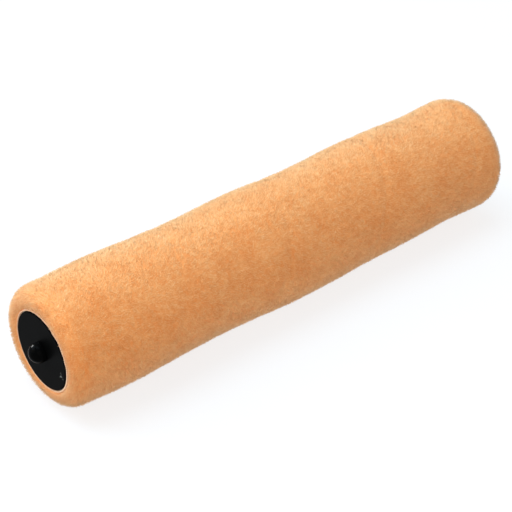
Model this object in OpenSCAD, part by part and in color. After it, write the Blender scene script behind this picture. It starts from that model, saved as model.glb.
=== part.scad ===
// Paint roller sleeve for a double-arm frame.
// X is the axis that the sleeve turns about, and the origin is the middle of the sleeve.
// Lengths are in millimetres. The two ends are mirror images of each other.

/* [Core tube] */
// Length of the core tube, without the flanges of the caps
core_length = 304; // [120:1:450]
// Outer diameter of the core tube
core_od = 44.5; // [40:0.1:60]
// Wall of the core tube
core_wall = 1.2; // [0.8:0.1:2]

/* [Fabric] */
// Thickness of the knitted backing that is glued round the core
backing_t = 0.8; // [0.4:0.1:1.5]
// How far the backing stands past each end of the core, round the flange
backing_overhang = 1.2; // [0:0.1:2]
// Height of the pile above its backing
pile_height = 11.75; // [8:0.25:18]
// How far the pile stands past each end of the core
pile_overhang = 3; // [2:0.5:6]
// Radius that the pile is rounded to at each end, as a share of its height
pile_edge_share = 0.94; // [0.3:0.02:0.98]
// How much wider than the backing the pile's mouth opens at the end
mouth_flare = 3; // [1:0.5:4]

/* [End caps] */
// How far the flange stops short of the core's outer edge, all round
flange_inset = 0.35; // [0.2:0.05:0.6]
// Thickness of the flange
flange_t = 1.5; // [1.2:0.1:3]
// Radius on the flange's outer rim
flange_round = 0.9; // [0.3:0.1:1]
// Length of the skirt inside the core
skirt_length = 16; // [10:0.5:30]
// Wall of the skirt
skirt_wall = 1.8; // [1.2:0.1:3]
// Gap between the skirt and the core, which the crush ribs bridge
skirt_gap = 0.3; // [0.1:0.05:0.5]
// How far each crush rib bites into the core
crush_bite = 0.05; // [0.02:0.01:0.1]
// Number of crush ribs round the skirt
crush_ribs = 8; // [4:1:16]
// Outer diameter of the hub
hub_od = 13; // [11:0.5:16]
// Length of the hub inside the flange
hub_length = 13; // [10:0.5:20]
// Number of radial ribs between the hub and the skirt
radial_ribs = 6; // [3:1:8]
// Thickness of a radial rib
rib_t = 1.4; // [0.8:0.1:2]
// Depth of the radial ribs behind the flange
rib_depth = 9; // [4:0.5:10]

/* [Spindles] */
// Diameter of the domed nose that sits in the frame's arm
nose_d = 11; // [9:0.5:14]
// Straight length of the nose before its dome
nose_land = 1; // [1:0.1:6]
// Diameter of the journal that turns in the hub
journal_d = 8; // [6:0.1:8.5]
// Radial clearance between the journal and the hub's bore
running_gap = 0.05; // [0.02:0.01:0.1]
// End play between the spindle and the cap, at the nose and at the retainer
end_play = 0.3; // [0.2:0.05:0.5]
// Diameter of the spindle's inner tail
tail_d = 5.6; // [4:0.1:5.8]
// Length of the tail
tail_length = 5; // [3:0.5:8]

/* [Retainers] */
// Outer diameter of the push-on retaining washer
retainer_od = 12.5; // [11:0.5:16]
// Thickness of the retaining washer
retainer_t = 0.6; // [0.4:0.1:1]
// How far the washer's teeth bite into the tail
retainer_bite = 0.05; // [0.02:0.01:0.1]
// Number of slots that part the washer's teeth
retainer_slots = 6; // [4:1:8]

/* [Hidden] */
$fn = 96;

LEFT = -1;
RIGHT = 1;

core_r = core_od / 2;
bore_r = core_r - core_wall;
core_chamfer = core_wall / 3;
backing_r = core_r + backing_t;
pile_r = backing_r + pile_height;
backing_half = core_length / 2 + backing_overhang;
pile_half = core_length / 2 + pile_overhang;
pile_edge_r = pile_height * pile_edge_share;

flange_r = core_r - flange_inset;
skirt_r = bore_r - skirt_gap;
skirt_lead = 0.6;
crush_rib_root = 0.2;
crush_rib_r = skirt_gap + crush_bite + crush_rib_root;
crush_rib_pitch_r = bore_r + crush_bite - crush_rib_r;
radial_rib_end = skirt_r - skirt_wall / 2;
hub_r = hub_od / 2;

nose_r = nose_d / 2;
journal_r = journal_d / 2;
hub_bore_r = journal_r + running_gap;
tail_r = tail_d / 2;
tail_chamfer = 0.6;
shoulder_z = flange_t + end_play;
retainer_z = -hub_length - end_play;
retainer_bore_r = tail_r - retainer_bite;
retainer_slot_w = 1;
retainer_slot_r = (tail_r + retainer_od / 2) / 2;
past = 1; // how far a cutter runs past the face it cuts

core_color = [0.86, 0.84, 0.78];
backing_color = [0.93, 0.80, 0.68];
pile_color = [0.90, 0.63, 0.38];
cap_color = [0.08, 0.09, 0.08];
spindle_color = [0.03, 0.03, 0.03];
retainer_color = [0.62, 0.64, 0.66];

// Stands its children on one end of the core: Z = 0 is the core's end face, and +Z points outwards.
module at_end(side) {
    mirror([side == LEFT ? 1 : 0, 0, 0])
        translate([core_length / 2, 0, 0])
            rotate([0, 90, 0])
                children();
}

// Turns a profile drawn as [radius, distance along X] about the sleeve's axis.
module turn_about_axis() {
    rotate([0, 90, 0])
        rotate_extrude()
            children();
}

module core_tube() {
    half = core_length / 2;
    color(core_color)
        turn_about_axis()
            polygon([
                [bore_r, core_chamfer - half],
                [bore_r + core_chamfer, -half],
                [core_r, -half],
                [core_r, half],
                [bore_r + core_chamfer, half],
                [bore_r, half - core_chamfer],
            ]);
}

module backing_fabric() {
    color(backing_color)
        turn_about_axis()
            translate([core_r, -backing_half])
                square([backing_t, 2 * backing_half]);
}

// One half of the pile's section: a block with its outer corner rounded and a flared mouth.
module pile_half_section() {
    corner_r = pile_r - pile_edge_r;
    corner_x = pile_half - pile_edge_r;
    difference() {
        union() {
            translate([backing_r, 0])
                square([pile_height, corner_x]);
            translate([backing_r, 0])
                square([corner_r - backing_r, pile_half]);
            intersection() {
                translate([corner_r, corner_x])
                    circle(pile_edge_r);
                translate([backing_r, 0])
                    square([pile_height, pile_half]);
            }
        }
        polygon([
            [backing_r - past, backing_half],
            [backing_r, backing_half],
            [backing_r + mouth_flare, pile_half + past],
            [backing_r - past, pile_half + past],
        ]);
    }
}

module pile() {
    color(pile_color)
        turn_about_axis() {
            pile_half_section();
            mirror([0, 1])
                pile_half_section();
        }
}

// Flange section with its outer rim rounded.
module flange_section() {
    square([flange_r - flange_round, flange_t]);
    square([flange_r, flange_t - flange_round]);
    translate([flange_r - flange_round, flange_t - flange_round])
        circle(flange_round);
}

// Skirt section with a lead-in at its inner end.
module skirt_section() {
    polygon([
        [skirt_r - skirt_wall, 0],
        [skirt_r, 0],
        [skirt_r, skirt_lead - skirt_length],
        [skirt_r - skirt_lead, -skirt_length],
        [skirt_r - skirt_wall, -skirt_length],
    ]);
}

// Thin walls that tie the hub to the skirt behind the flange.
module hub_ribs() {
    for (i = [0 : radial_ribs - 1])
        rotate([0, 0, i * 360 / radial_ribs])
            translate([hub_r - past, -rib_t / 2, -rib_depth])
                cube([radial_rib_end - hub_r + past, rib_t, rib_depth + flange_t / 2]);
}

// Half-round ribs that the core's bore crushes as the cap is pressed in.
module skirt_crush_ribs() {
    for (i = [0 : crush_ribs - 1])
        rotate([0, 0, (i + 0.5) * 360 / crush_ribs])
            translate([crush_rib_pitch_r, 0, 2 * skirt_lead - skirt_length])
                cylinder(r = crush_rib_r, h = skirt_length - 2 * skirt_lead);
}

module end_cap(side) {
    color(cap_color)
        at_end(side)
            difference() {
                union() {
                    rotate_extrude()
                        flange_section();
                    rotate_extrude()
                        skirt_section();
                    translate([0, 0, -hub_length])
                        cylinder(r = hub_r, h = hub_length + flange_t / 2);
                    hub_ribs();
                    skirt_crush_ribs();
                }
                translate([0, 0, -hub_length - past])
                    cylinder(r = hub_bore_r, h = hub_length + flange_t + 2 * past);
            }
}

module spindle(side) {
    color(spindle_color)
        at_end(side) {
            translate([0, 0, shoulder_z])
                cylinder(r = nose_r, h = nose_land);
            translate([0, 0, shoulder_z + nose_land])
                intersection() {
                    sphere(nose_r);
                    cylinder(r = nose_r + past, h = nose_r + past);
                }
            translate([0, 0, retainer_z])
                cylinder(r = journal_r, h = shoulder_z - retainer_z);
            translate([0, 0, retainer_z - tail_length + tail_chamfer])
                cylinder(r = tail_r, h = tail_length - tail_chamfer);
            translate([0, 0, retainer_z - tail_length])
                cylinder(r1 = tail_r - tail_chamfer, r2 = tail_r, h = tail_chamfer);
        }
}

module retainer(side) {
    color(retainer_color)
        at_end(side)
            translate([0, 0, retainer_z - retainer_t])
                difference() {
                    cylinder(d = retainer_od, h = retainer_t);
                    translate([0, 0, -past])
                        cylinder(r = retainer_bore_r, h = retainer_t + 2 * past);
                    for (i = [0 : retainer_slots - 1])
                        rotate([0, 0, i * 360 / retainer_slots])
                            translate([0, -retainer_slot_w / 2, -past])
                                cube([retainer_slot_r, retainer_slot_w, retainer_t + 2 * past]);
                }
}

module left_end_cap() { end_cap(LEFT); }
module right_end_cap() { end_cap(RIGHT); }
module left_spindle() { spindle(LEFT); }
module right_spindle() { spindle(RIGHT); }
module left_retainer() { retainer(LEFT); }
module right_retainer() { retainer(RIGHT); }

core_tube();
backing_fabric();
pile();
left_end_cap();
right_end_cap();
left_spindle();
right_spindle();
left_retainer();
right_retainer();
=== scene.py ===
import math
import time

import bmesh
import bpy
import numpy as np
from mathutils import Matrix, Vector, noise


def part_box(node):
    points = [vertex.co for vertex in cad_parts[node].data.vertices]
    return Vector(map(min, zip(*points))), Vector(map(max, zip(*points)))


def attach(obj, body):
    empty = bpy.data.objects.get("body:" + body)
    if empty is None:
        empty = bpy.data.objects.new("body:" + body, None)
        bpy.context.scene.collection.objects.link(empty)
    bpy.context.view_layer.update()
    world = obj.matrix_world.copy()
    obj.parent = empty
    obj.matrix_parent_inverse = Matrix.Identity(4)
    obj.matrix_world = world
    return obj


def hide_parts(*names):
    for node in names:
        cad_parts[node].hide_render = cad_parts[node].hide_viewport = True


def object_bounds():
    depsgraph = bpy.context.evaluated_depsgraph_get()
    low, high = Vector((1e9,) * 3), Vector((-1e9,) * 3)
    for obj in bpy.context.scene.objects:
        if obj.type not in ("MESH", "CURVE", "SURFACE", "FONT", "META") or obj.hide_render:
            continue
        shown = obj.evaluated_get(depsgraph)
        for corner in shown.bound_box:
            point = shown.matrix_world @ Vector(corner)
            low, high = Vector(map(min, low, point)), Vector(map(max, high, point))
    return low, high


started = time.time()
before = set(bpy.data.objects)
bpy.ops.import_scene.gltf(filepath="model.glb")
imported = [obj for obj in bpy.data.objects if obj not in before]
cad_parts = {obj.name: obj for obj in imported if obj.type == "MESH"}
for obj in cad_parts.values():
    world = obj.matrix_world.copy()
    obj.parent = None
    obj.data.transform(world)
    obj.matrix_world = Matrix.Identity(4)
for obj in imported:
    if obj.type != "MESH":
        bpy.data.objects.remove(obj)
cadLow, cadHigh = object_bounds()
mm = 0.001


def report(stage):
    print(f"{stage}: {time.time() - started:.1f} s", flush=True)


camera = {
    "lens": 109.6,
    "azimuth": -39.9,            # degrees round from the front, minus towards the left end
    "elevation": 35.1,
    "distance": 870.4 * mm,
    "right": -8.8 * mm,          # how far the aim is from the middle of the sleeve
    "up": -8.2 * mm,
}


def makeCamera(c):
    azimuth, elevation = math.radians(c["azimuth"]), math.radians(c["elevation"])
    flat = math.cos(elevation)
    back = Vector((math.sin(azimuth) * flat, -math.cos(azimuth) * flat, math.sin(elevation)))
    turn = back.to_track_quat("Z", "Y")
    data = bpy.data.cameras.new("camera")
    data.lens = c["lens"]
    data.clip_start, data.clip_end = 0.01, 20
    obj = bpy.data.objects.new("camera", data)
    bpy.context.scene.collection.objects.link(obj)
    obj.rotation_mode = "QUATERNION"
    obj.rotation_quaternion = turn
    obj.location = back * c["distance"] + turn @ Vector((c["right"], c["up"], 0))
    bpy.context.scene.camera = obj


makeCamera(camera)
bpy.context.scene.view_settings.view_transform = "Standard"  # keeps a white floor white


# sRGB hex to linear colour
def linear(code):
    parts = [int(code[i:i + 2], 16) / 255 for i in (1, 3, 5)]
    return tuple(p / 12.92 if p <= 0.04045 else ((p + 0.055) / 1.055) ** 2.4 for p in parts) + (1.0,)


# adds a node: settings are socket values or node options, links are {input: output socket}
def addNode(tree, kind, settings=None, links=None):
    node = tree.nodes.new(kind)
    for name, value in (settings or {}).items():
        if isinstance(name, int) or name in node.inputs.keys():
            node.inputs[name].default_value = value
        else:
            setattr(node, name, value)
    for name, source in (links or {}).items():
        tree.links.new(source, node.inputs[name])
    return node


# a Principled material with plain values on the shader's own sockets
def newMaterial(name, settings):
    mat = bpy.data.materials.new(name)
    mat.use_nodes = True
    tree = mat.node_tree
    tree.nodes.clear()
    shader = addNode(tree, "ShaderNodeBsdfPrincipled", settings)
    addNode(tree, "ShaderNodeOutputMaterial", links={"Surface": shader.outputs[0]})
    return mat, tree, shader


def addObject(name, mesh, material=None):
    obj = bpy.data.objects.new(name, mesh)
    bpy.context.scene.collection.objects.link(obj)
    if material:
        mesh.materials.clear()
        mesh.materials.append(material)
    return obj


def finishMesh(bm, name):
    for face in bm.faces:
        face.smooth = True
    mesh = bpy.data.meshes.new(name)
    bm.to_mesh(mesh)
    bm.free()
    return mesh


# sizes that the frame gives
pileRadius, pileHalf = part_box("pile")[1][2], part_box("pile")[1][0]
backingRadius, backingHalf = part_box("backing_fabric")[1][2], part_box("backing_fabric")[1][0]
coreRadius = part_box("core_tube")[1][2]


# turns a closed section of (x, radius) corners about X, and rounds the corners in {corner: radius}
# with a step, edges that lie wholly beyond the radius cutBeyond are first cut to about that length
def turnSection(corners, rounds, segments, columns, step=None, cutBeyond=0):
    bm = bmesh.new()
    verts = [bm.verts.new((x, 0, r)) for x, r in corners]
    bm.faces.new(verts)
    for corner, radius in rounds.items():
        bmesh.ops.bevel(bm, geom=[verts[corner]], offset=radius, offset_type="OFFSET",
                        affect="VERTICES", segments=segments, profile=0.5, material=-1)
    bmesh.ops.delete(bm, geom=bm.faces[:], context="FACES_ONLY")
    for edge in bm.edges[:]:
        cuts = round(edge.calc_length() / step) - 1 if step else 0
        if cuts > 0 and min(v.co.z for v in edge.verts) > cutBeyond:
            bmesh.ops.subdivide_edges(bm, edges=[edge], cuts=cuts)
    bmesh.ops.spin(bm, geom=bm.verts[:] + bm.edges[:], cent=(0, 0, 0), axis=(1, 0, 0),
                   angle=math.tau, steps=columns, use_merge=True)
    bmesh.ops.remove_doubles(bm, verts=bm.verts[:], dist=0.001 * mm)
    bmesh.ops.recalc_face_normals(bm, faces=bm.faces[:])
    # the spin makes its faces in another order each run, and the scatter goes by their order
    bm.verts.index_update()
    count = len(bm.verts)
    bm.faces.sort(key=lambda face: count * min(v.index for v in face.verts)
                  + max(v.index for v in face.verts))
    return bm


pile = {
    "edgeRadius": 8.6 * mm,      # round at each end of the skin
    "edgeSegments": 9,
    "nap": 1.4 * mm,             # how far the tips stand out of the skin
    "skinStep": 1.2 * mm,        # size of the skin's faces
    "tuckedIn": 0.2 * mm,        # how far the skin reaches into the backing
    "swell": 1.55 * mm,          # slow rise and fall of the sheared surface
    "swellLength": 48 * mm,
    "swellSeed": (52.6, 72.5, 74.1),
    "clumpDepth": 0.16 * mm,
    "clump": 5 * mm,
    "smallClump": 2.6 * mm,
    "smallClumpShare": 0.6,
    "seamDepth": 0.3 * mm,       # the edges of the wound strip meet in a faint groove
    "seamWidth": 2.2 * mm,
    "stripWidth": 72 * mm,
    "mouthLip": 0.8 * mm,        # bare width between the backing and the first fibres
    "mouthDip": 0.7 * mm,        # the pile slopes down to its mouth
    "mouthWidth": 4 * mm,
    "fibreLength": 2.0 * mm,
    "fibreRadius": 0.17 * mm,    # coarser than a filament, which is too fine to show
    "fibreFull": 0.6,            # share of its length over which a fibre stays full
    "fibreFullness": 2,          # how much wider it is there than a plain point
    "bends": (0.15 * mm, 0.45 * mm, 0.8 * mm, 1.1 * mm),  # how far the tip of each kind leans over
    "droop": 0.3,                # how far a tip drops for each mm that it leans over
    "twist": 0.7,                # turn from one kind of fibre to the next, in radians
    "sizes": (0.85, 1.12),
    "buried": 0.35 * mm,
    "spacing": 0.58 * mm,        # least distance between two fibres
    "tries": 2.4,                # places tried in each square of that spacing
    "tuft": 2.4 * mm,            # width of the tufts that fibres lean together in
    "pull": 0.1,                 # lean into a tuft for each mm from its middle
    "flow": 1.1,                 # lean that neighbouring tufts share
    "flowLength": 9 * mm,
    "stray": 0.45,               # lean of single fibres
    "softness": 0.7,             # how much the fibres take the skin's normals
    "strips": 8,
}


# how far the sheared pile stands above its mean surface at a point
def relief(p, co):
    phase = (co.x / p["stripWidth"] - math.atan2(co.y, co.z) / math.tau) % 1.0
    away = min(phase, 1 - phase) * p["stripWidth"] / p["seamWidth"]
    seam = -p["seamDepth"] * math.exp(-away * away)
    swell = p["swell"] * noise.noise(co / p["swellLength"] + Vector(p["swellSeed"]))
    small = p["smallClumpShare"] * noise.noise(co / p["smallClump"])
    clumps = p["clumpDepth"] * (noise.noise(co / p["clump"]) + small)
    return seam + swell + clumps


# the dense pile below the tips, a closed ring with rounded ends and a flared mouth
def makeSkin(p, material):
    r, end = pileRadius - p["nap"], pileHalf - p["nap"]
    inner, lip = backingRadius - p["tuckedIn"], backingRadius + p["mouthLip"]
    half = [(backingHalf, inner), (end, lip), (end, r)]
    corners = [(-x, radius) for x, radius in half] + half[::-1]
    outerCorners = {2: p["edgeRadius"], 3: p["edgeRadius"]}
    columns = round(math.tau * r / p["skinStep"])
    bm = turnSection(corners, outerCorners, p["edgeSegments"], columns, p["skinStep"], inner + 0.1 * mm)
    for v in bm.verts:
        share = min(1.0, max(0.0, (math.hypot(v.co.y, v.co.z) - lip) / p["mouthWidth"]))
        v.co += v.normal * relief(p, v.co) * share
        v.co.x -= math.copysign(p["mouthDip"] * (1 - share) ** 2, v.co.x)
    return addObject("pile_skin", finishMesh(bm, "pile_skin"), material)


# one fibre on the origin: a closed three-sided point that bends over towards its tip
def makeFibre(name, p, bend, twist):
    length, wide = p["fibreLength"], p["fibreFullness"]
    bm = bmesh.new()
    bmesh.ops.create_cone(bm, cap_ends=True, segments=3, radius1=p["fibreRadius"], radius2=0,
                          depth=length, matrix=Matrix.Translation((0, 0, length / 2)))
    cut = bmesh.ops.bisect_plane(bm, geom=bm.verts[:] + bm.edges[:] + bm.faces[:],
                                 plane_co=(0, 0, p["fibreFull"] * length), plane_no=(0, 0, 1))
    ring = [part for part in cut["geom_cut"] if isinstance(part, bmesh.types.BMVert)]
    bmesh.ops.scale(bm, vec=(wide, wide, 1), verts=ring)
    bmesh.ops.rotate(bm, cent=(0, 0, 0), matrix=Matrix.Rotation(twist, 3, "Z"), verts=bm.verts[:])
    height = bm.verts.layers.float.new("height")
    for v in bm.verts:
        share = v.co.z / length
        v[height] = share
        v.co.x += bend * share ** 2
        v.co.z -= p["buried"] + p["droop"] * bend * share ** 2
    return bpy.data.objects.new(name, finishMesh(bm, name))


# scatters the fibres over the skin, between two angles round the axis
def scatterTree(p, fibres, low, high):
    tree = bpy.data.node_groups.new("pile_scatter", "GeometryNodeTree")
    for end in ("INPUT", "OUTPUT"):
        tree.interface.new_socket("Geometry", in_out=end, socket_type="NodeSocketGeometry")
    source = addNode(tree, "NodeGroupInput").outputs[0]
    points = addNode(tree, "GeometryNodeDistributePointsOnFaces",
                     {"distribute_method": "POISSON", "Distance Min": p["spacing"],
                      "Density Max": p["tries"] / p["spacing"] ** 2, "Seed": 4},
                     {"Mesh": source}).outputs
    place = addNode(tree, "GeometryNodeInputPosition").outputs[0]
    apart = addNode(tree, "ShaderNodeSeparateXYZ", links={0: place}).outputs
    across = addNode(tree, "ShaderNodeCombineXYZ", links={1: apart[1], 2: apart[2]}).outputs[0]
    radius = addNode(tree, "ShaderNodeVectorMath", {"operation": "LENGTH"},
                     {0: across}).outputs["Value"]
    angle = addNode(tree, "ShaderNodeMath", {"operation": "ARCTAN2"},
                    {0: apart[1], 1: apart[2]}).outputs[0]

    # fibres lean into tufts, share a slow flow and stray a little
    tuft = addNode(tree, "ShaderNodeTexVoronoi", {"Scale": 1 / p["tuft"]},
                   {"Vector": place}).outputs["Position"]
    inward = addNode(tree, "ShaderNodeVectorMath", {"operation": "SUBTRACT"},
                     {0: tuft, 1: place}).outputs[0]
    flowing = addNode(tree, "ShaderNodeTexNoise", {"Scale": 1 / p["flowLength"]},
                      {"Vector": place}).outputs["Color"]
    flow = addNode(tree, "ShaderNodeVectorMath",
                   {"operation": "MULTIPLY_ADD", 1: (p["flow"],) * 3, 2: (-0.5 * p["flow"],) * 3},
                   {0: flowing}).outputs[0]
    stray = addNode(tree, "FunctionNodeRandomValue",
                    {"data_type": "FLOAT_VECTOR", 0: (-p["stray"],) * 3, 1: (p["stray"],) * 3,
                     "Seed": 1}).outputs[0]
    way = points["Normal"]
    for share, lean in ((p["pull"] / mm, inward), (1, flow), (1, stray)):
        way = addNode(tree, "ShaderNodeVectorMath", {"operation": "MULTIPLY_ADD", 1: (share,) * 3},
                      {0: lean, 2: way}).outputs[0]
    aligned = addNode(tree, "FunctionNodeAlignRotationToVector", {"axis": "Z"},
                      {"Vector": way}).outputs[0]
    spin = addNode(tree, "FunctionNodeRandomValue",
                   {"data_type": "FLOAT", 2: 0.0, 3: math.tau, "Seed": 2}).outputs[1]
    turned = addNode(tree, "FunctionNodeAxisAngleToRotation", {"Axis": (0, 0, 1)},
                     {"Angle": spin}).outputs[0]
    rotation = addNode(tree, "FunctionNodeRotateRotation", {"rotation_space": "LOCAL"},
                       {"Rotation": aligned, "Rotate By": turned}).outputs[0]
    size = addNode(tree, "FunctionNodeRandomValue",
                   {"data_type": "FLOAT", 2: p["sizes"][0], 3: p["sizes"][1], "Seed": 3}).outputs[1]

    chosen = None
    for operation, value, limit in (("GREATER_EQUAL", angle, low), ("LESS_THAN", angle, high),
                                    ("GREATER_THAN", radius, backingRadius + p["mouthLip"])):
        test = addNode(tree, "FunctionNodeCompare",
                       {"data_type": "FLOAT", "operation": operation, 1: limit}, {0: value}).outputs[0]
        if chosen:
            test = addNode(tree, "FunctionNodeBooleanMath", {"operation": "AND"},
                           {0: chosen, 1: test}).outputs[0]
        chosen = test
    shapes = addNode(tree, "GeometryNodeCollectionInfo",
                     {"Collection": fibres, "Separate Children": True,
                      "Reset Children": True}).outputs[0]

    # each fibre keeps the skin's normal, and a shade of its own
    lifted = addNode(tree, "GeometryNodeStoreNamedAttribute",
                     {"data_type": "FLOAT_VECTOR", "Name": "lift"},
                     {"Geometry": points[0], "Value": points["Normal"]}).outputs[0]
    tint = addNode(tree, "FunctionNodeRandomValue",
                   {"data_type": "FLOAT", 2: 0.0, 3: 1.0, "Seed": 5}).outputs[1]
    tinted = addNode(tree, "GeometryNodeStoreNamedAttribute", {"data_type": "FLOAT", "Name": "shade"},
                     {"Geometry": lifted, "Value": tint}).outputs[0]
    placed = addNode(tree, "GeometryNodeInstanceOnPoints", {"Pick Instance": True},
                     {"Points": tinted, "Selection": chosen, "Instance": shapes,
                      "Rotation": rotation, "Scale": size}).outputs[0]
    real = addNode(tree, "GeometryNodeRealizeInstances", links={"Geometry": placed}).outputs[0]
    addNode(tree, "NodeGroupOutput", links={0: real})
    return tree


# the fibres take most of the normal of the skin they stand on, so that they light as one soft surface
def softenNormals(mesh, softness):
    count = len(mesh.vertices)
    lift, own = np.empty(count * 3, np.float32), np.empty(count * 3, np.float32)
    mesh.attributes["lift"].data.foreach_get("vector", lift)
    mesh.vertex_normals.foreach_get("vector", own)
    soft = (softness * lift + (1 - softness) * own).reshape(-1, 3)
    mesh.normals_split_custom_set_from_vertices(soft / np.linalg.norm(soft, axis=1, keepdims=True))
    mesh.attributes.remove(mesh.attributes["lift"])


# the fibres come in strips along the sleeve, so that no one mesh is too heavy
def growFibres(p, skin, material):
    fibres = bpy.data.collections.new("fibres")
    for i, bend in enumerate(p["bends"]):
        fibres.objects.link(makeFibre(f"fibre{i}", p, bend, i * p["twist"]))
    strips = []
    for i in range(p["strips"]):
        low = -math.pi + i * math.tau / p["strips"]
        emitter = addObject("emitter", skin.data)
        scatter = emitter.modifiers.new("scatter", "NODES")
        scatter.node_group = scatterTree(p, fibres, low, low + math.tau / p["strips"])
        bpy.context.view_layer.update()
        grown = emitter.evaluated_get(bpy.context.evaluated_depsgraph_get())
        mesh = bpy.data.meshes.new_from_object(grown)
        mesh.name = f"pile_fibres_{i + 1}"
        bpy.data.objects.remove(emitter)
        softenNormals(mesh, p["softness"])
        strips.append(addObject(mesh.name, mesh, material))
        report(f"{mesh.name}, {len(mesh.polygons)} faces")
    return strips


pileColours = {
    # deep, middle and pale, each where the sum of the patterns reaches its number
    "stops": ((0.5, "#e19754"), (0.85, "#eaaf72"), (1.25, "#f2c590")),
    "patternTop": 1.3,           # the most that the sum comes to
    "paintedDepthShade": "#f7e0ca",           # painted shade: multiplies the colour low down in the pile, and over all of the skin
    "paintedDepthShadeEnd": 0.8,              # share of a fibre's length where that painted shade has faded out
    "mottle": 2.6 * mm,          # about the width of a tuft
    "patch": 14 * mm,
    "patchShare": 0.4,
    "fibreShare": 0.26,
    "fuzz": 0.9 * mm,            # lumps between the fibres, coarser than real so that they show
    "fuzzDepth": 0.3 * mm,
}


# colour that both the fibres and the skin under them use, mottled tuft by tuft, with painted shade low
# in the pile
def pileColour(tree, p):
    place = addNode(tree, "ShaderNodeTexCoord").outputs["Object"]
    mottle = addNode(tree, "ShaderNodeTexNoise",
                     {"Scale": 1 / p["mottle"], "Detail": 3.0, "Roughness": 0.65},
                     {"Vector": place}).outputs["Fac"]
    patch = addNode(tree, "ShaderNodeTexNoise", {"Scale": 1 / p["patch"], "Detail": 1.0},
                    {"Vector": place}).outputs["Fac"]
    both = addNode(tree, "ShaderNodeMath", {"operation": "MULTIPLY_ADD", 1: p["patchShare"]},
                   {0: patch, 2: mottle}).outputs[0]
    shade = addNode(tree, "ShaderNodeAttribute", {"attribute_name": "shade"}).outputs["Fac"]
    total = addNode(tree, "ShaderNodeMath", {"operation": "MULTIPLY_ADD", 1: p["fibreShare"]},
                    {0: shade, 2: both}).outputs[0]
    spread = addNode(tree, "ShaderNodeMath", {"operation": "DIVIDE", 1: p["patternTop"]},
                     {0: total}).outputs[0]
    ramp = addNode(tree, "ShaderNodeValToRGB", links={"Fac": spread})
    ramp.color_ramp.elements.new(0.5)  # a third stop between the two it starts with
    for stop, (position, colour) in zip(ramp.color_ramp.elements, p["stops"]):
        stop.position = position / p["patternTop"]
        stop.color = linear(colour)
    # painted shade: the colour darkens towards the fibres' roots; the skin has no height, so it takes
    # the full painted shade
    height = addNode(tree, "ShaderNodeAttribute", {"attribute_name": "height"}).outputs["Fac"]
    depth = addNode(tree, "ShaderNodeMapRange",
                    {"From Max": p["paintedDepthShadeEnd"], "To Min": 1.0, "To Max": 0.0},
                    {"Value": height}).outputs[0]
    return addNode(tree, "ShaderNodeMix",
                   {"data_type": "RGBA", "blend_type": "MULTIPLY", 7: linear(p["paintedDepthShade"])},
                   {0: depth, 6: ramp.outputs[0]}).outputs[2]


filament = {"Roughness": 0.8, "IOR": 1.5, "Specular IOR Level": 0.2,
            "Sheen Weight": 0.4, "Sheen Roughness": 0.5, "Sheen Tint": linear("#fff0dc")}


# dyed polyester filament, sheared: soft and matt, with a pale bloom where it is seen edge on
def fibreMaterial(p):
    mat, tree, shader = newMaterial("Dyed polyester filament, sheared", filament)
    tree.links.new(pileColour(tree, p), shader.inputs["Base Color"])
    return mat


# the same filament packed together below the tips: the eye sees one fuzzy, finely lumpy surface,
# darkened all over by the painted shade
def skinMaterial(p):
    mat, tree, shader = newMaterial("Dyed polyester filament, packed", filament)
    tree.links.new(pileColour(tree, p), shader.inputs["Base Color"])
    place = addNode(tree, "ShaderNodeTexCoord").outputs["Object"]
    fuzz = addNode(tree, "ShaderNodeTexNoise", {"Scale": 1 / p["fuzz"], "Detail": 3.0},
                   {"Vector": place}).outputs["Fac"]
    bump = addNode(tree, "ShaderNodeBump", {"Strength": 0.6, "Distance": p["fuzzDepth"]},
                   {"Height": fuzz}).outputs[0]
    tree.links.new(bump, shader.inputs["Normal"])
    return mat


skin = makeSkin(pile, skinMaterial(pileColours))
report(f"pile_skin, {len(skin.data.polygons)} faces")
strips = growFibres(pile, skin, fibreMaterial(pileColours))
for piece in [skin] + strips:
    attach(piece, "sleeve")
    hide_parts("pile")


knit = {
    "stitch": 1.2 * mm,          # width and length of a stitch
    "columns": 4,                # columns of faces to each stitch round the edge
    "clearance": 0.02 * mm,      # between the knit and the core
    "edgeRound": 0.3 * mm,
    "cutEdge": 0.25 * mm,        # how unevenly the blade left the cut ends
    "waviness": 6,               # how quickly that changes round the edge
    "scallop": 0.1 * mm,         # each stitch stands out at the cut
    "colour": "#e4b890",
    # painted shade: the darker colour of the hollows between the stitches
    "paintedGrooveShade": "#c8926c",
    "courseShare": 0.6,          # how deep the rows are beside the ribs
    "depth": 0.2 * mm,
}
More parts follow.
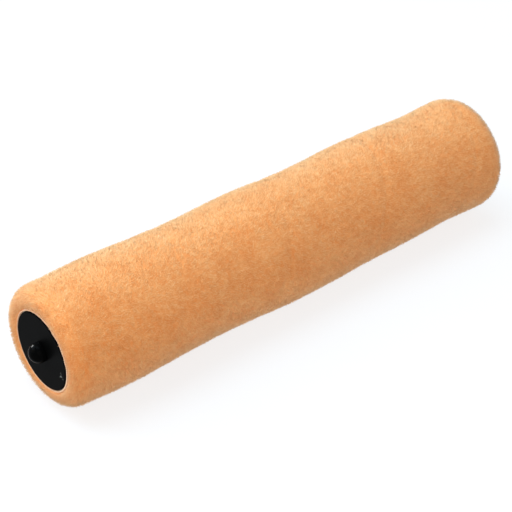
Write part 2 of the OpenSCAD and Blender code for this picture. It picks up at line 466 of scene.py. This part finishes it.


# knitted polyester ground with glue soaked through: pale, dull, with ribs of stitches along it and
# painted shade in the hollows between them
def knitMaterial(p):
    mat, tree, shader = newMaterial("Warp-knitted polyester ground", {
        "Roughness": 0.85, "IOR": 1.5, "Specular IOR Level": 0.3,
        "Sheen Weight": 0.2, "Sheen Roughness": 0.5})
    place = addNode(tree, "ShaderNodeTexCoord").outputs["Object"]
    apart = addNode(tree, "ShaderNodeSeparateXYZ", links={0: place}).outputs
    angle = addNode(tree, "ShaderNodeMath", {"operation": "ARCTAN2"},
                    {0: apart[1], 1: apart[2]}).outputs[0]
    stitches = round(math.tau * backingRadius / p["stitch"])
    around = addNode(tree, "ShaderNodeMath", {"operation": "MULTIPLY", 1: stitches},
                     {0: angle}).outputs[0]
    along = addNode(tree, "ShaderNodeMath", {"operation": "MULTIPLY", 1: math.tau / p["stitch"]},
                    {0: apart[0]}).outputs[0]
    wales = addNode(tree, "ShaderNodeMath", {"operation": "SINE"}, {0: around}).outputs[0]
    courses = addNode(tree, "ShaderNodeMath", {"operation": "SINE"}, {0: along}).outputs[0]
    height = addNode(tree, "ShaderNodeMath", {"operation": "MULTIPLY_ADD", 1: p["courseShare"]},
                     {0: courses, 2: wales}).outputs[0]
    highest = 1 + p["courseShare"]
    even = addNode(tree, "ShaderNodeMapRange", {"From Min": -highest, "From Max": highest},
                   {"Value": height}).outputs[0]
    # painted shade: the colour darkens where the stitches are low
    colour = addNode(tree, "ShaderNodeMix",
                     {"data_type": "RGBA", 6: linear(p["paintedGrooveShade"]), 7: linear(p["colour"])},
                     {0: even}).outputs[2]
    bump = addNode(tree, "ShaderNodeBump", {"Strength": 0.7, "Distance": p["depth"]},
                   {"Height": even}).outputs[0]
    tree.links.new(colour, shader.inputs["Base Color"])
    tree.links.new(bump, shader.inputs["Normal"])
    return mat


# a thin tube round the core, with its cut ends a little uneven
def makeBacking(p, material):
    stitches = round(math.tau * backingRadius / p["stitch"])
    inner, outer = coreRadius + p["clearance"], backingRadius
    corners = [(-backingHalf, inner), (-backingHalf, outer), (backingHalf, outer), (backingHalf, inner)]
    bm = turnSection(corners, {1: p["edgeRound"], 2: p["edgeRound"]}, 3, stitches * p["columns"])
    for v in bm.verts:
        angle = math.atan2(v.co.y, v.co.z)
        side = math.copysign(1, v.co.x)
        spot = Vector((side, math.cos(angle), math.sin(angle))) * p["waviness"]
        uneven = noise.noise(spot) * p["cutEdge"]
        v.co.x += side * (uneven + p["scallop"] * math.cos(angle * stitches))
    return addObject("backing_knit", finishMesh(bm, "backing_knit"), material)


backing = makeBacking(knit, knitMaterial(knit))
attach(backing, "sleeve")
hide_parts("backing_fabric")
report(f"backing_knit, {len(backing.data.polygons)} faces")


cap = {
    "colour": "#050505",
    "roughness": (0.3, 0.42),
    "sinkLength": 9 * mm,        # size of the patches where the gloss changes
    "grain": 0.5 * mm,           # spark-eroded grain of the mould, coarser than real so that it shows
    "grainDepth": 0.04 * mm,
    # painted highlight: pale specks at one spot by the rim, for the rim's reflection
    "paintedHighlightPlace": (0, -17.6 * mm, -5.4 * mm),
    "paintedHighlightSize": 3.4 * mm,
    "paintedHighlightSpecks": 1.3 * mm,
    "paintedHighlightBoost": (0.26, -0.1),  # added to the specks' noise at the middle and at the edge of the painted highlight
    "paintedHighlightEdge": (0.7, 0.78),    # the noise shows as a pale speck of painted highlight between these
    "paintedHighlightColour": "#6d6f6a",
}


# black polypropylene moulded in a spark-eroded tool: near black, satin, with a fine even grain, and a
# small painted highlight by the rim
def capMaterial(p):
    mat, tree, shader = newMaterial("Moulded black polypropylene",
                                    {"IOR": 1.49, "Specular IOR Level": 0.006})
    place = addNode(tree, "ShaderNodeTexCoord").outputs["Object"]
    grain = addNode(tree, "ShaderNodeTexNoise", {"Scale": 1 / p["grain"], "Detail": 2.0},
                    {"Vector": place}).outputs["Fac"]
    sink = addNode(tree, "ShaderNodeTexNoise", {"Scale": 1 / p["sinkLength"], "Detail": 2.0},
                   {"Vector": place}).outputs["Fac"]
    rough = addNode(tree, "ShaderNodeMapRange",
                    {"To Min": p["roughness"][0], "To Max": p["roughness"][1]},
                    {"Value": sink}).outputs[0]
    bump = addNode(tree, "ShaderNodeBump", {"Strength": 0.25, "Distance": p["grainDepth"]},
                   {"Height": grain}).outputs[0]

    # pale specks painted at one spot by the rim: a painted highlight of the rim's reflection
    across = addNode(tree, "ShaderNodeMapping", {"Scale": (0, 1, 1)}, {"Vector": place}).outputs[0]
    away = addNode(tree, "ShaderNodeVectorMath", {"operation": "DISTANCE", 1: p["paintedHighlightPlace"]},
                   {0: across}).outputs["Value"]
    near = addNode(tree, "ShaderNodeMapRange",
                   {"From Max": p["paintedHighlightSize"], "To Min": p["paintedHighlightBoost"][0],
                    "To Max": p["paintedHighlightBoost"][1]}, {"Value": away}).outputs[0]
    marks = addNode(tree, "ShaderNodeTexNoise", {"Scale": 1 / p["paintedHighlightSpecks"], "Detail": 2.0},
                    {"Vector": place}).outputs["Fac"]
    highlightSpeckNoise = addNode(tree, "ShaderNodeMath", {"operation": "ADD"}, {0: marks, 1: near}).outputs[0]
    paintedHighlight = addNode(tree, "ShaderNodeMapRange",
                    {"From Min": p["paintedHighlightEdge"][0], "From Max": p["paintedHighlightEdge"][1]},
                    {"Value": highlightSpeckNoise}).outputs[0]
    colour = addNode(tree, "ShaderNodeMix",
                     {"data_type": "RGBA", 6: linear(p["colour"]), 7: linear(p["paintedHighlightColour"])},
                     {0: paintedHighlight}).outputs[2]
    tree.links.new(colour, shader.inputs["Base Color"])
    tree.links.new(rough, shader.inputs["Roughness"])
    tree.links.new(bump, shader.inputs["Normal"])
    return mat


spindle = {
    "colour": "#050505",
    "roughness": (0.1, 0.18),
    "smear": 3 * mm,             # size of the smears that wiping left
    "ring": 0.35 * mm,           # pitch of the faint rings left by the tool that turned it
    "ringDepth": 0.02 * mm,
}


# black acetal turned on a lathe and wiped: glossy, with faint rings about its axis
def spindleMaterial(p):
    mat, tree, shader = newMaterial("Turned black acetal", {
        "Base Color": linear(p["colour"]), "IOR": 1.48, "Specular IOR Level": 0.008})
    place = addNode(tree, "ShaderNodeTexCoord").outputs["Object"]
    along = addNode(tree, "ShaderNodeSeparateXYZ", links={0: place}).outputs[0]
    phase = addNode(tree, "ShaderNodeMath", {"operation": "MULTIPLY", 1: math.tau / p["ring"]},
                    {0: along}).outputs[0]
    rings = addNode(tree, "ShaderNodeMath", {"operation": "SINE"}, {0: phase}).outputs[0]
    smear = addNode(tree, "ShaderNodeTexNoise", {"Scale": 1 / p["smear"], "Detail": 2.0},
                    {"Vector": place}).outputs["Fac"]
    rough = addNode(tree, "ShaderNodeMapRange",
                    {"To Min": p["roughness"][0], "To Max": p["roughness"][1]},
                    {"Value": smear}).outputs[0]
    bump = addNode(tree, "ShaderNodeBump", {"Strength": 0.06, "Distance": p["ringDepth"]},
                   {"Height": rings}).outputs[0]
    tree.links.new(rough, shader.inputs["Roughness"])
    tree.links.new(bump, shader.inputs["Normal"])
    return mat


core = {
    "pale": "#f1ece1",
    "dull": "#e2dbcc",
    "roughness": (0.4, 0.55),
    "streak": 2.5 * mm,          # width of the die lines, which run the whole length
    "stretch": 0.02,             # squeezes the pattern along the tube, which draws it out
}


# natural polypropylene pushed through a die: milky, satin, with long faint lines
def coreMaterial(p):
    mat, tree, shader = newMaterial("Extruded natural polypropylene",
                                    {"IOR": 1.49, "Specular IOR Level": 0.4})
    place = addNode(tree, "ShaderNodeTexCoord").outputs["Object"]
    drawn = addNode(tree, "ShaderNodeMapping", {"Scale": (p["stretch"], 1, 1)},
                    {"Vector": place}).outputs[0]
    streaks = addNode(tree, "ShaderNodeTexNoise", {"Scale": 1 / p["streak"], "Detail": 2.0},
                      {"Vector": drawn}).outputs["Fac"]
    colour = addNode(tree, "ShaderNodeMix",
                     {"data_type": "RGBA", 6: linear(p["dull"]), 7: linear(p["pale"])},
                     {0: streaks}).outputs[2]
    rough = addNode(tree, "ShaderNodeMapRange",
                    {"To Min": p["roughness"][0], "To Max": p["roughness"][1]},
                    {"Value": streaks}).outputs[0]
    tree.links.new(colour, shader.inputs["Base Color"])
    tree.links.new(rough, shader.inputs["Roughness"])
    return mat


retainer = {
    "pale": "#b9bcc0",
    "dark": "#8b8f95",
    "roughness": (0.28, 0.45),
    "scratch": 0.4 * mm,         # width of the rolling lines, coarser than real so that they show
    "stretch": 0.05,
}


# spring steel blanked from rolled strip: grey metal with fine lines the way the strip was rolled
def retainerMaterial(p):
    mat, tree, shader = newMaterial("Rolled spring steel", {"Metallic": 1.0})
    place = addNode(tree, "ShaderNodeTexCoord").outputs["Object"]
    rolled = addNode(tree, "ShaderNodeMapping", {"Scale": (1, p["stretch"], 1)},
                     {"Vector": place}).outputs[0]
    lines = addNode(tree, "ShaderNodeTexNoise", {"Scale": 1 / p["scratch"], "Detail": 3.0},
                    {"Vector": rolled}).outputs["Fac"]
    colour = addNode(tree, "ShaderNodeMix",
                     {"data_type": "RGBA", 6: linear(p["dark"]), 7: linear(p["pale"])},
                     {0: lines}).outputs[2]
    rough = addNode(tree, "ShaderNodeMapRange",
                    {"To Min": p["roughness"][0], "To Max": p["roughness"][1]},
                    {"Value": lines}).outputs[0]
    tree.links.new(colour, shader.inputs["Base Color"])
    tree.links.new(rough, shader.inputs["Roughness"])
    return mat


# gives CAD pieces their material
def paint(material, *nodes):
    for node in nodes:
        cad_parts[node].material_slots[0].material = material


paint(capMaterial(cap), "left_end_cap", "right_end_cap")
paint(spindleMaterial(spindle), "left_spindle", "right_spindle")
paint(coreMaterial(core), "core_tube")
paint(retainerMaterial(retainer), "left_retainer", "right_retainer")
report("materials")


studio = {
    "sheet": "#646464",
    "sheetGlow": 0.8,            # the sheet is lit from below, which leaves only a faint shadow
    "sheetHalf": 3,              # metres from the middle to each side
    "world": 0.66,
    "worldColour": "#ecf5ff",
    # each light's direction and distance from the sleeve, its size in metres, its watts and its colour
    "lights": {
        "key": ((-0.5, 0.7, 0.65), 1.4, 0.9, 15, "#cfe8ff"),
        "overhead": ((-0.1, 0.13, 0.99), 1.4, 1.0, 18.6, "#d0eaff"),
        "fill": ((-0.5, -0.75, 0.6), 1.4, 1.0, 4.6, "#fffaf2"),
        "side": ((-1.0, 0.4, 0.6), 1.4, 0.9, 4.4, "#ffe9c4"),
        "low": ((-0.3, -0.9, 0.12), 1.4, 1.0, 2.4, "#ffe7cb"),
        "glint": ((-0.49, 0.82, 0.29), 0.4, 0.11, 4, "#ffffff"),
    },
}


def makeFloor(p):
    bm = bmesh.new()
    bmesh.ops.create_grid(bm, x_segments=1, y_segments=1, size=p["sheetHalf"],
                          matrix=Matrix.Translation((0, 0, cadLow.z)))
    sheet = newMaterial("White acrylic sheet", {
        "Base Color": linear(p["sheet"]), "Roughness": 0.9,
        "Emission Color": (1, 1, 1, 1), "Emission Strength": p["sheetGlow"]})[0]
    addObject("floor", finishMesh(bm, "floor"), sheet)


def makeLights(p):
    world = bpy.data.worlds.new("studio")
    world.use_nodes = True
    background = world.node_tree.nodes["Background"]
    background.inputs["Color"].default_value = linear(p["worldColour"])
    background.inputs["Strength"].default_value = p["world"]
    bpy.context.scene.world = world
    for name, (way, distance, size, power, colour) in p["lights"].items():
        data = bpy.data.lights.new(name, "AREA")
        data.shape, data.size, data.energy, data.color = "DISK", size, power, linear(colour)[:3]
        obj = bpy.data.objects.new(name, data)
        bpy.context.scene.collection.objects.link(obj)
        way = Vector(way).normalized()
        obj.rotation_mode = "QUATERNION"
        obj.rotation_quaternion = way.to_track_quat("Z", "Y")
        obj.location = way * distance
    # the glint is a small reflector by the near end, which only the glossy spindles pick up
    glossy = bpy.data.collections.new("glossy")
    for node in ("left_spindle", "right_spindle"):
        glossy.objects.link(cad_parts[node])
    bpy.data.objects["glint"].light_linking.receiver_collection = glossy


makeFloor(studio)
makeLights(studio)

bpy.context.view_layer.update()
report("scene made")
